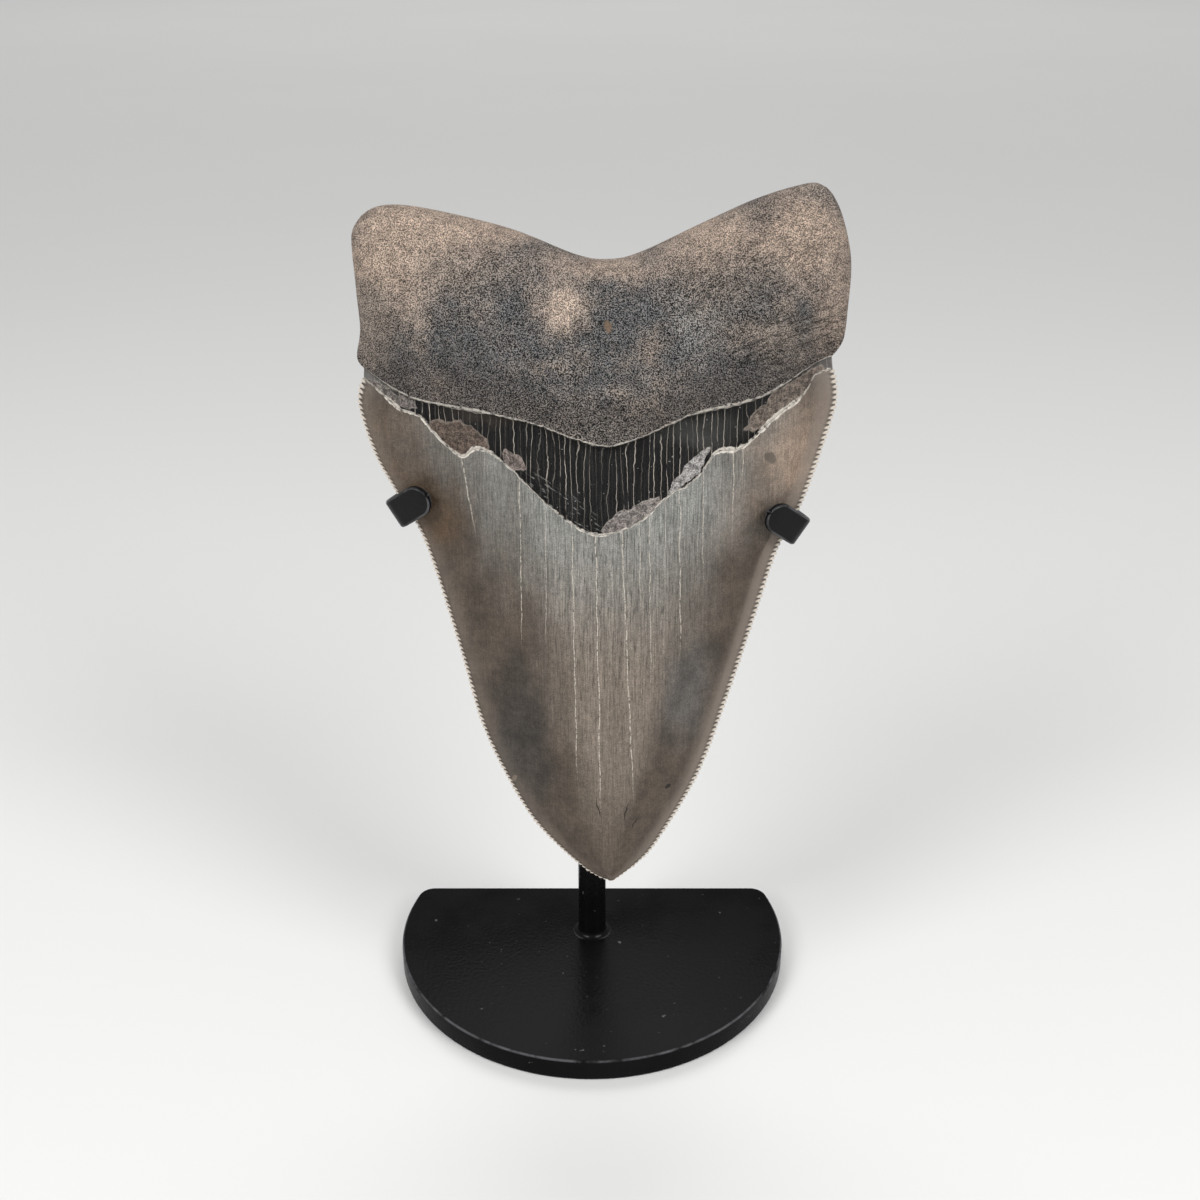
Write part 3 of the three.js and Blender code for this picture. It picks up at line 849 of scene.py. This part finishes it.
def arm_piece(name, grip):
    """A strap from the post to its grip on the edge, with its end by the post cut upright."""
    meet = np.array([-TIP[0], ARMS_MEET_V])
    out = np.array(grip) - meet
    reach = np.linalg.norm(out)
    out = out / reach
    side = np.array([-out[1], out[0]])
    rings = []
    for index, (centre, angle, half) in enumerate(strap_stations(reach)):
        b, lift = strap_section(half).T
        cut = (GAP / 2 - np.sign(out[0]) * side[0] * b) / abs(out[0])
        shift = cut if index == 0 else np.zeros(len(b))
        a = centre[0] + shift * math.cos(angle) - lift * math.sin(angle)
        w = centre[1] + shift * math.sin(angle) + lift * math.cos(angle)
        flat = meet + a[:, None] * out + b[:, None] * side
        rings.append(to_world(np.column_stack([flat, w])) / MM)
    wear = np.tile(np.sin(np.linspace(0, math.pi, STRAP_CORNER_STEPS + 1)), 4)
    return tube(name, rings, wear)


# Materials

class Shader:
    """Builds a material's nodes; each method returns the output socket of what it adds."""

    def __init__(self, name):
        self.material = bpy.data.materials.new(name)
        self.material.use_nodes = True
        self.tree = self.material.node_tree
        self.bsdf = self.tree.nodes["Principled BSDF"]

    def feed(self, socket, value):
        """Links the input to another node's socket, or sets it to a number or a colour."""
        if isinstance(value, bpy.types.NodeSocket):
            self.tree.links.new(value, socket)
        elif isinstance(value, tuple) and len(value) == 3 and len(socket.default_value) == 4:
            socket.default_value = (*value, 1.0)
        else:
            socket.default_value = value

    def surface(self, name, value):
        """Feeds one input of the material's surface."""
        self.feed(self.bsdf.inputs[name], value)

    def node(self, kind, inputs=(), **settings):
        node = self.tree.nodes.new(kind)
        for name, value in settings.items():
            setattr(node, name, value)
        for key, value in inputs:
            self.feed(node.inputs[key], value)
        return node

    def math(self, operation, *values):
        return self.node("ShaderNodeMath", list(enumerate(values)), operation=operation).outputs[0]

    def plus(self, first, second):
        return self.math("ADD", first, second)

    def times(self, first, second):
        return self.math("MULTIPLY", first, second)

    def apart(self, first, second):
        """How far one number is from another."""
        return self.math("ABSOLUTE", self.math("SUBTRACT", first, second))

    def vector_math(self, operation, *values):
        node = self.node("ShaderNodeVectorMath", list(enumerate(values)), operation=operation)
        return node.outputs["Vector"]

    def ramp(self, value, low, high):
        """0 at low, 1 at high, smooth between; low may be the larger."""
        inputs = [("Value", value), ("From Min", low), ("From Max", high)]
        return self.node("ShaderNodeMapRange", inputs, interpolation_type="SMOOTHSTEP").outputs["Result"]

    def number(self, name):
        return self.node("ShaderNodeAttribute", attribute_name=name).outputs["Fac"]

    def vector(self, name):
        return self.node("ShaderNodeAttribute", attribute_name=name).outputs["Vector"]

    def split(self, vector):
        return self.node("ShaderNodeSeparateXYZ", [("Vector", vector)]).outputs

    def noise(self, vector, scale, detail=2.0, roughness=0.5):
        inputs = [("Vector", vector), ("Scale", scale), ("Detail", detail), ("Roughness", roughness)]
        return self.node("ShaderNodeTexNoise", inputs).outputs["Fac"]

    def streaks(self, vector, across, along, detail=2.0, roughness=0.5):
        """Flat noise with its two directions scaled apart."""
        place = self.vector_math("MULTIPLY", vector, (across, along, 0.0))
        inputs = [("Vector", place), ("Scale", 1.0), ("Detail", detail), ("Roughness", roughness)]
        return self.node("ShaderNodeTexNoise", inputs, noise_dimensions="2D").outputs["Fac"]

    def mix(self, factor, first, second):
        """From the first colour to the second."""
        inputs = [(0, factor), (6, first), (7, second)]
        return self.node("ShaderNodeMix", inputs, data_type="RGBA").outputs[2]

    def blend(self, factor, first, second):
        """From the first number to the second."""
        inputs = [(0, factor), (2, first), (3, second)]
        return self.node("ShaderNodeMix", inputs, data_type="FLOAT").outputs[0]

    def scaled(self, color, amount):
        amounts = self.node("ShaderNodeCombineXYZ", [(0, amount), (1, amount), (2, amount)]).outputs[0]
        return self.vector_math("MULTIPLY", color, amounts)

    def shaded(self, color, noise, darkest, lightest, low=0.3, high=0.7):
        """The colour, darkest where the noise is low and lightest where it is high."""
        return self.scaled(color, self.blend(self.ramp(noise, low, high), darkest, lightest))

    def bump(self, height, distance):
        return self.node("ShaderNodeBump", [("Height", height), ("Distance", distance)]).outputs["Normal"]


class ToothShader(Shader):
    """The tooth's material: places, distances, and the noises that blur its borders."""

    def __init__(self):
        super().__init__("tooth")
        self.place = self.vector("place")
        self.u, self.v, _ = self.split(self.place)
        self.across = self.number("across")
        self.above_enamel = self.number("above_enamel")
        self.above_band = self.number("above_band")
        self.edge = self.number("edge")
        self.bead = self.number("bead")
        self.inner = self.number("inner")
        self.warped = self.pushed(*WARP)
        self.jogged = self.pushed(*JOG)
        self.frayed = self.pushed(*FRAY)
        self.waver = self.times(self.math("SUBTRACT", self.lumps(*WAVER), 0.5), WAVER_REACH)
        self.grain = self.lumps(*GRAIN)

    def lumps(self, *settings):
        return self.noise(self.place, *settings)

    def stripes(self, *settings):
        return self.streaks(self.place, *settings)

    def sway(self, reach, *settings):
        """Stripes as a push to either side, half the reach at most."""
        return self.times(self.math("SUBTRACT", self.stripes(*settings), 0.5), reach)

    def pushed(self, reach, scale, detail):
        """Each place pushed aside, half the reach at most."""
        inputs = [("Vector", self.place), ("Scale", scale), ("Detail", detail)]
        color = self.node("ShaderNodeTexNoise", inputs, noise_dimensions="2D").outputs["Color"]
        centred = self.vector_math("SUBTRACT", color, (0.5, 0.5, 0.5))
        push = self.vector_math("MULTIPLY", centred, (reach, reach, 0.0))
        return self.vector_math("ADD", self.place, push)

    def turned(self, x, y, cosine, sine):
        """One coordinate of a place on turned axes."""
        return self.math("MULTIPLY_ADD", y, sine, self.times(x, cosine))

    def oval(self, place, middle, half, turn=0.0):
        """Distance from an oval's middle, 1 at its border."""
        angle = math.radians(turn)
        x, y, _ = self.split(self.vector_math("SUBTRACT", place, (*middle, 0.0)))
        along = self.turned(x, y, math.cos(angle) / half[0], math.sin(angle) / half[0])
        across = self.turned(x, y, -math.sin(angle) / half[1], math.cos(angle) / half[1])
        square = self.math("MULTIPLY_ADD", along, along, self.times(across, across))
        return self.math("SQRT", square)

    def slanted(self, turn, along_scale, across_scale):
        """Places along and across a slope, each with a scale of its own."""
        angle = math.radians(turn)
        along = self.turned(self.u, self.v, math.cos(angle), math.sin(angle))
        across = self.turned(self.u, self.v, -math.sin(angle), math.cos(angle))
        parts = [(0, self.times(along, along_scale)), (1, self.times(across, across_scale))]
        return self.node("ShaderNodeCombineXYZ", parts).outputs[0]

    def patches(self, color, patches):
        """The colour with broad soft patches laid over it."""
        for middle, half, tone, strength in patches:
            mask = self.ramp(self.oval(self.warped, middle, half), 1.0, 0.15)
            color = self.mix(self.times(mask, strength), color, tone)
        return color


def root_color(tooth):
    """Tan and blue-grey bone, brown along its lower edge, with a strong fine grain, partly painted shade in
    its pits and painted highlights on its tops.
    """
    cloud = tooth.lumps(*ROOT_CLOUD)
    color = tooth.mix(tooth.ramp(cloud, 0.42, 0.75), BLUE_GREY, SAND)
    height = tooth.math("MULTIPLY_ADD", cloud, ROOT_BROWN_WANDER, tooth.above_band)
    low = tooth.times(tooth.ramp(height, *ROOT_BROWN_HEIGHTS), 0.8)
    color = tooth.patches(tooth.mix(low, color, BROWN), ROOT_PATCHES)
    color = tooth.shaded(color, tooth.lumps(*ROOT_TINT), 0.7, 1.2)
    # The grain's contrast is partly its own colour and partly painted shade and highlight of its lit relief
    pale = tooth.ramp(tooth.split(color)[0], 0.12, 0.4)
    pit_shade = tooth.blend(pale, 0.1, 0.5)
    peak_highlight = tooth.blend(pale, 2.8, 2.45)
    color = tooth.shaded(color, tooth.grain, pit_shade, peak_highlight, 0.42, 0.61)
    # Painted highlights on the tops of the grain
    lit = tooth.times(tooth.ramp(tooth.grain, 0.58, 0.66), 0.45)
    color = tooth.mix(lit, color, TAN)
    flaked = tooth.ramp(tooth.oval(tooth.warped, *FLAKES), 1.0, 0.2)
    flakes = tooth.times(flaked, tooth.ramp(tooth.grain, 0.5, 0.6))
    return tooth.mix(tooth.times(flakes, 0.28), color, CREAM)


def crease_mask(tooth):
    """Creases that climb to the right: strong near the root's lower right corner, fine above; the root is
    painted dark in them as shade.
    """
    total = 0.0
    for turn, scales, middle, half, width, strength in CREASES:
        off = tooth.apart(tooth.noise(tooth.slanted(turn, *scales), *CREASE_NOISE), 0.5)
        area = tooth.ramp(tooth.oval(tooth.place, middle, half, turn), 1.0, 0.5)
        mask = tooth.times(tooth.ramp(off, width, 0.0), tooth.times(area, strength))
        total = tooth.math("MAXIMUM", mask, total)
    return tooth.times(total, tooth.inner)


def band_cracks(tooth):
    """Fine pale cracks in uneven lanes, from enamel to root."""
    sway = tooth.plus(tooth.sway(*BAND_SWAY), tooth.sway(*BAND_SHAKE))
    lane = tooth.math("DIVIDE", tooth.plus(tooth.u, sway), BAND_CRACK_SPACING)
    off = tooth.times(tooth.apart(tooth.math("FRACT", lane), 0.5), BAND_CRACK_SPACING)
    line = tooth.ramp(off, *BAND_CRACK_WIDTHS)
    number = [("W", tooth.math("FLOOR", lane))]
    chance = tooth.node("ShaderNodeTexWhiteNoise", number, noise_dimensions="1D").outputs["Value"]
    return tooth.times(line, tooth.blend(chance, 0.1, 1.0))


def band_color(tooth):
    """Dark band with a painted smoky grey sheen to the right, ashen at both ends, painted glints on its
    ledge and pale cracks.
    """
    line = band_cracks(tooth)
    broken = tooth.ramp(tooth.stripes(*BAND_BREAKS), 0.28, 0.46)
    dark = tooth.shaded(CHARCOAL, tooth.stripes(*BAND_STREAK), 0.3, 2.6, 0.4, 0.75)
    dark = tooth.patches(dark, BAND_PATCHES_AND_SHEEN)
    ends = tooth.ramp(tooth.apart(tooth.u, BAND_MIDDLE), *BAND_ENDS)
    dark = tooth.mix(ends, dark, ASH)
    specks = tooth.ramp(tooth.lumps(*SPECKS), 0.72, 0.76)
    dark = tooth.mix(specks, dark, PEARL)
    ledge = tooth.ramp(tooth.oval(tooth.place, *LEDGE), 1.0, 0.6)
    line = tooth.times(line, tooth.blend(ledge, 1.0, 0.35))
    # Painted glints: pale streaks where the glossy ledge would catch the light
    glint = tooth.ramp(tooth.noise(tooth.slanted(*LEDGE_GLINTS), *CREASE_NOISE), 0.57, 0.68)
    dark = tooth.mix(tooth.times(glint, ledge), dark, PEARL)
    return tooth.mix(tooth.times(line, broken), dark, CREAM)


def crack_mask(tooth):
    """Fine pale cracks that run down the enamel."""
    place = tooth.plus(tooth.u, tooth.sway(*CRACK_SWAY))
    broken = tooth.ramp(tooth.stripes(*CRACK_BREAKS), 0.34, 0.58)
    total = 0.0
    for upper, lower, half, strength in CRACKS:
        slope = (upper[0] - lower[0]) / (upper[1] - lower[1])
        line = tooth.math("MULTIPLY_ADD", tooth.v, slope, upper[0] - slope * upper[1])
        off = tooth.apart(place, line)
        mask = tooth.times(tooth.ramp(off, 1.08 * half, 0.2 * half), strength)
        for end, (outside, inside) in ((lower[1], CRACK_TAIL), (upper[1], CRACK_START)):
            mask = tooth.times(mask, tooth.ramp(tooth.v, end + outside, end + inside))
        total = tooth.math("MAXIMUM", mask, total)
    return tooth.times(total, tooth.times(broken, tooth.inner))


def ridge_color(tooth):
    """Brown enamel with a pale wedge down its middle, wide at the top; also how far in the wedge."""
    aside = tooth.apart(tooth.plus(tooth.across, tooth.sway(*RIDGE_DRIFT)), RIDGE_MIDDLE)
    reach = tooth.math("MULTIPLY_ADD", tooth.v, RIDGE_WIDENING, RIDGE_REACH)
    wedge = tooth.ramp(tooth.math("DIVIDE", aside, reach), 1.05, 0.2)
    pale = tooth.mix(tooth.ramp(tooth.v, *PEARL_HEIGHTS), TAUPE, PEARL)
    pale = tooth.mix(tooth.ramp(tooth.v, *TIP_HEIGHTS), pale, HAZEL)
    # The enamel's patches include a painted shadow under the left hook
    ground = tooth.patches(UMBER, ENAMEL_PATCHES_AND_HOOK_SHADOW)
    ground = tooth.shaded(ground, tooth.lumps(*ENAMEL_CLOUD), 0.75, 1.3)
    return tooth.mix(wedge, ground, pale), wedge


def enamel_streaks(tooth):
    """How much lighter or darker the enamel's streaks and dashes make it."""
    streak = tooth.ramp(tooth.stripes(*ENAMEL_STREAK), 0.3, 0.7)
    wide = tooth.ramp(tooth.stripes(*ENAMEL_STRIPE), 0.3, 0.7)
    dash = tooth.stripes(*ENAMEL_DASH)
    tone = tooth.times(tooth.blend(streak, 0.74, 1.26), tooth.blend(wide, 0.9, 1.1))
    tone = tooth.times(tone, tooth.blend(tooth.ramp(dash, 0.56, 0.7), 1.0, 0.5))
    return tooth.times(tone, tooth.blend(tooth.ramp(dash, 0.4, 0.28), 1.0, 1.25))


def enamel_color(tooth):
    """Fine streaks and cracks in the pale middle, smooth flanks, a pale edge strip made stronger on the
    right as a painted highlight, and pale serrations with painted shade between them.
    """
    color, wedge = ridge_color(tooth)
    lined = tooth.blend(tooth.times(wedge, tooth.ramp(tooth.v, *STREAK_HEIGHTS)), 0.25, 1.0)
    color = tooth.scaled(color, tooth.blend(lined, 1.0, enamel_streaks(tooth)))
    color = tooth.shaded(color, tooth.grain, 0.76, 1.24)
    color = tooth.shaded(color, tooth.lumps(*ENAMEL_MOTTLE), 0.88, 1.12)
    color = tooth.mix(crack_mask(tooth), color, CREAM)
    # Pale strip along the cutting edges, partly the enamel's own colour; its greater strength on the right
    # is a painted highlight
    right = tooth.blend(tooth.ramp(tooth.across, -0.5, 0.5), 0.25, 0.6)
    rim = tooth.times(tooth.ramp(tooth.edge, *RIM_HIGHLIGHT_WIDTHS), right)
    color = tooth.mix(rim, color, SAND)
    # Painted shade in the gaps between the serrations, darkening the cutting edges
    gap_shade = tooth.times(tooth.ramp(tooth.edge, *SERRATION_SHADE_WIDTHS), 0.7)
    color = tooth.mix(gap_shade, color, SLATE)
    return tooth.mix(tooth.ramp(tooth.bead, 0.3, 0.6), color, CREAM)


def line_mask(tooth, distance, half):
    """Uneven pale line along one of the drawn borders, wide and crusty over the chips."""
    spread = tooth.ramp(tooth.lumps(*LINE_SPREAD), 0.42, 0.72)
    width = tooth.times(tooth.blend(spread, 0.7, 2.0), half)
    aside = tooth.apart(tooth.u, CRUST_CENTRE)
    crust = tooth.ramp(tooth.apart(aside, CRUST_ASIDE), *CRUST_REACH)
    width = tooth.times(width, tooth.blend(crust, 1.0, 2.0))
    off = tooth.math("ABSOLUTE", tooth.plus(distance, tooth.waver))
    worn = tooth.ramp(tooth.lumps(*SPECKS), 0.25, 0.55)
    return tooth.times(tooth.ramp(tooth.math("SUBTRACT", off, width), 0.07, -0.07), worn)


def add_chips(tooth, color, is_enamel):
    """Broken patches with a pale rim, on the band side of the enamel's upper edge."""
    mottle = tooth.blend(tooth.ramp(tooth.lumps(*CHIP_MOTTLE), 0.35, 0.65), 0.45, 1.65)
    mottle = tooth.times(mottle, tooth.blend(tooth.ramp(tooth.grain, 0.35, 0.65), 0.6, 1.5))
    open_side = tooth.times(tooth.math("SUBTRACT", 1.0, is_enamel), tooth.inner)
    total = 0.0
    for middle, half, turn, tone in CHIPS:
        far = tooth.oval(tooth.frayed, middle, half, turn)
        mask = tooth.times(tooth.ramp(far, 1.0, 0.94), open_side)
        rim = tooth.ramp(tooth.apart(far, 0.95), 0.1, 0.0)
        patch = tooth.mix(tooth.times(rim, 0.2), tooth.scaled(tone, mottle), CREAM)
        color = tooth.mix(mask, color, patch)
        total = tooth.math("MAXIMUM", mask, total)
    return color, total


def add_lines(tooth, color):
    """Pale lines along the enamel's upper edge and the root's lower edge, fainter on the outer face."""
    shown = tooth.blend(tooth.inner, 0.4, 1.0)
    for distance, (lift, half) in ((tooth.above_enamel, ENAMEL_LINE), (tooth.above_band, ROOT_LINE)):
        mask = line_mask(tooth, tooth.plus(distance, lift), half)
        color = tooth.mix(tooth.times(mask, shown), color, IVORY)
    return color


def add_marks(tooth, color):
    """Small dark and brown marks on the inner face."""
    shown = tooth.times(tooth.inner, 0.8)
    for middle, half, turn, tone in MARKS:
        mask = tooth.ramp(tooth.oval(tooth.jogged, middle, half, turn), 1.0, 0.6)
        color = tooth.mix(tooth.times(mask, shown), color, tone)
    return color


def tooth_bump(tooth, creases):
    """Grain, pits and creases on the root, less on the band, faint streaks on the enamel."""
    coarse = tooth.math("MULTIPLY_ADD", tooth.lumps(*ROOT_PITS), 1.2, tooth.grain)
    coarse = tooth.math("MULTIPLY_ADD", creases, -0.9, coarse)
    on_root = tooth.ramp(tooth.above_band, -0.1, 0.1)
    coarse = tooth.times(coarse, tooth.blend(on_root, 0.35, 1.0))
    streak = tooth.times(tooth.stripes(*ENAMEL_RELIEF), 0.08)
    height = tooth.blend(tooth.ramp(tooth.above_enamel, 0.1, -0.1), coarse, streak)
    return tooth.bump(height, TOOTH_RELIEF)


def tooth_material():
    tooth = ToothShader()
    is_enamel = tooth.ramp(tooth.plus(tooth.above_enamel, tooth.waver), 0.05, -0.05)
    is_root = tooth.ramp(tooth.plus(tooth.above_band, tooth.waver), -0.05, 0.05)
    creases = crease_mask(tooth)
    # Painted shade: the root darkened in its creases
    root = tooth.mix(tooth.times(creases, 0.8), root_color(tooth), CHARCOAL)
    neck = tooth.mix(tooth.inner, root, band_color(tooth))
    color = tooth.mix(is_root, neck, root)
    color = tooth.mix(is_enamel, color, enamel_color(tooth))
    color, chipped = add_chips(tooth, color, is_enamel)
    color = add_lines(tooth, color)
    tooth.surface("Base Color", add_marks(tooth, color))
    tooth.surface("Specular IOR Level", TOOTH_GLOSS)
    smooth = tooth.times(is_enamel, tooth.math("SUBTRACT", 1.0, chipped))
    rough = tooth.blend(is_root, BAND_ROUGHNESS, ROOT_ROUGHNESS)
    tooth.surface("Roughness", tooth.blend(smooth, rough, ENAMEL_ROUGHNESS))
    tooth.surface("Normal", tooth_bump(tooth, creases))
    return tooth.material


def paint_material(name, gloss):
    """Satin black paint with a fine orange peel, a little dust, and edges rubbed grey as a painted
    highlight.
    """
    shader = Shader(name)
    place = shader.node("ShaderNodeTexCoord").outputs["Object"]
    dust = shader.ramp(shader.noise(place, *PAINT_DUST), 0.72, 0.8)
    patchy = shader.ramp(shader.noise(place, *PAINT_PATCHES), 0.35, 0.7)
    # Painted highlight: the rounded edges rubbed grey, broken up by noise
    rubbed_highlight = shader.ramp(shader.number("wear"), 0.2, 1.0)
    rubbed_highlight = shader.times(rubbed_highlight, shader.ramp(shader.noise(place, *PAINT_RUBBING_HIGHLIGHT), 0.3, 0.6))
    tone = shader.mix(patchy, PAINT_BLACK, PAINT_DARK)
    tone = shader.mix(rubbed_highlight, tone, PAINT_RUBBED_HIGHLIGHT)
    shader.surface("Base Color", shader.mix(dust, tone, DUST))
    rough = shader.blend(rubbed_highlight, shader.blend(patchy, 0.22, 0.32), 0.2)
    shader.surface("Roughness", shader.blend(dust, rough, 0.9))
    shader.surface("Specular IOR Level", gloss)
    shader.surface("Normal", shader.bump(shader.noise(place, *ORANGE_PEEL), PEEL_DEPTH))
    return shader.material


def floor_material():
    """Plain pale board, very slightly uneven."""
    shader = Shader("floor")
    place = shader.node("ShaderNodeTexCoord").outputs["Object"]
    shade = shader.noise(place, *FLOOR_NOISE)
    shader.surface("Base Color", shader.mix(shade, FLOOR_SHADE, FLOOR_PALE))
    shader.surface("Roughness", shader.blend(shade, 0.65, 0.8))
    return shader.material


# Scene

def add_camera():
    data = bpy.data.cameras.new("camera")
    data.lens = CAMERA_LENS
    data.sensor_width = CAMERA_SENSOR
    data.clip_start = CAMERA_NEAR * MM
    camera = bpy.data.objects.new("camera", data)
    camera.location = [value * MM for value in CAMERA_PLACE]
    camera.rotation_euler = (math.pi / 2 - CAMERA_PITCH, 0, 0)
    bpy.context.collection.objects.link(camera)
    bpy.context.scene.camera = camera


def add_light(name, place, target, size, power):
    """A round soft light that shines from its place to its target."""
    data = bpy.data.lights.new(name, "AREA")
    data.shape = "DISK"
    data.size = size
    data.energy = power
    light = bpy.data.objects.new(name, data)
    light.location = place
    aim = Vector(target) - Vector(place)
    light.rotation_euler = aim.to_track_quat("-Z", "Y").to_euler()
    bpy.context.collection.objects.link(light)


def add_studio():
    for light in LIGHTS:
        add_light(*light)
    world = bpy.data.worlds.new("studio")
    world.use_nodes = True
    sky = world.node_tree.nodes["Background"].inputs
    sky["Color"].default_value = SKY_COLOR
    sky["Strength"].default_value = SKY_STRENGTH
    bpy.context.scene.world = world
    bpy.context.scene.view_settings.view_transform = "Standard"


def add_floor():
    half = FLOOR_HALF
    corners = [(-half, -half, 0), (half, -half, 0), (half, half, 0), (-half, half, 0)]
    floor = new_piece("floor", np.array(corners), [(0, 1, 2, 3)])
    floor.data.materials.append(floor_material())


def add_pieces():
    plate_paint = paint_material("plate_paint", PLATE_GLOSS)
    rod_paint = paint_material("rod_paint", ROD_GLOSS)
    pieces = [
        (tooth_piece(), "tooth", tooth_material()),
        (plate_piece(), "base_plate", plate_paint),
        (post_piece(), "post", rod_paint),
        (arm_piece("strap_left", LEFT_GRIP), "left_arm", rod_paint),
        (arm_piece("strap_right", RIGHT_GRIP), "right_arm", rod_paint),
    ]
    for piece, node, material in pieces:
        piece.data.materials.append(material)
        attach(piece, "root")
        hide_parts(node)


add_camera()
add_studio()
add_floor()
add_pieces()
